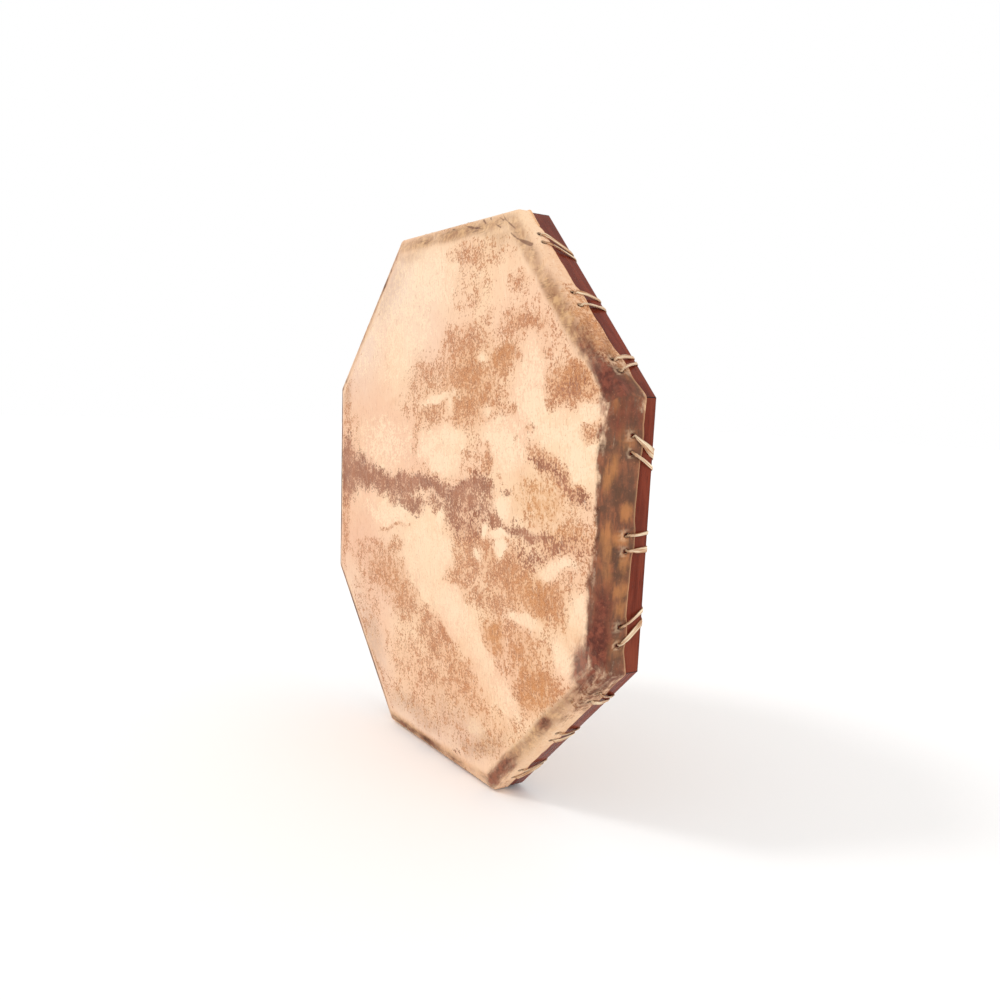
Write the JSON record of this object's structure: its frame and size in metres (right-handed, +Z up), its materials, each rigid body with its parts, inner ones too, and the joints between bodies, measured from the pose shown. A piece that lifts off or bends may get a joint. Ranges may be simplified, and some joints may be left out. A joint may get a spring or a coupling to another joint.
{
  "type": "hoop drum",
  "caption": "Octagonal wooden hoop drum with a rawhide head, flat rawhide lacing over the back rim and a bound hand grip.",
  "frame": {"origin": "on the ground under the middle of the drum's box, with the drum upright on its lowest side", "axes": "+Z up; +Y along the drum axis, from the playing face to the back; +X to the right of a person who looks at the playing face"},
  "size_m": [0.6078, 0.0556, 0.6078],
  "materials": {
    "rawhide_head": "satin",
    "wood": "satin",
    "rawhide_lace": "satin",
    "rawhide_binding": "satin"
  },
  "bodies": {
    "root": {"drumhead": "rawhide_head", "hand_grip": "rawhide_binding", "frame_board_1": "wood", "frame_board_2": "wood", "frame_board_3": "wood", "frame_board_4": "wood", "frame_board_5": "wood", "frame_board_6": "wood", "frame_board_7": "wood", "frame_board_8": "wood", "spoke_wrap_1": "rawhide_binding", "spoke_wrap_2": "rawhide_binding", "spoke_wrap_3": "rawhide_binding", "spoke_wrap_4": "rawhide_binding", "spoke_wrap_5": "rawhide_binding", "spoke_wrap_6": "rawhide_binding", "spoke_wrap_7": "rawhide_binding", "spoke_wrap_8": "rawhide_binding", "lace_1_1": "rawhide_lace", "lace_1_2": "rawhide_lace", "lace_1_3": "rawhide_lace", "lace_2_1": "rawhide_lace", "lace_2_2": "rawhide_lace", "lace_2_3": "rawhide_lace", "lace_3_1": "rawhide_lace", "lace_3_2": "rawhide_lace", "lace_3_3": "rawhide_lace", "lace_4_1": "rawhide_lace", "lace_4_2": "rawhide_lace", "lace_4_3": "rawhide_lace", "lace_5_1": "rawhide_lace", "lace_5_2": "rawhide_lace", "lace_5_3": "rawhide_lace", "lace_6_1": "rawhide_lace", "lace_6_2": "rawhide_lace", "lace_6_3": "rawhide_lace", "lace_7_1": "rawhide_lace", "lace_7_2": "rawhide_lace", "lace_7_3": "rawhide_lace", "lace_8_1": "rawhide_lace", "lace_8_2": "rawhide_lace", "lace_8_3": "rawhide_lace"}
  },
  "joints": []
}
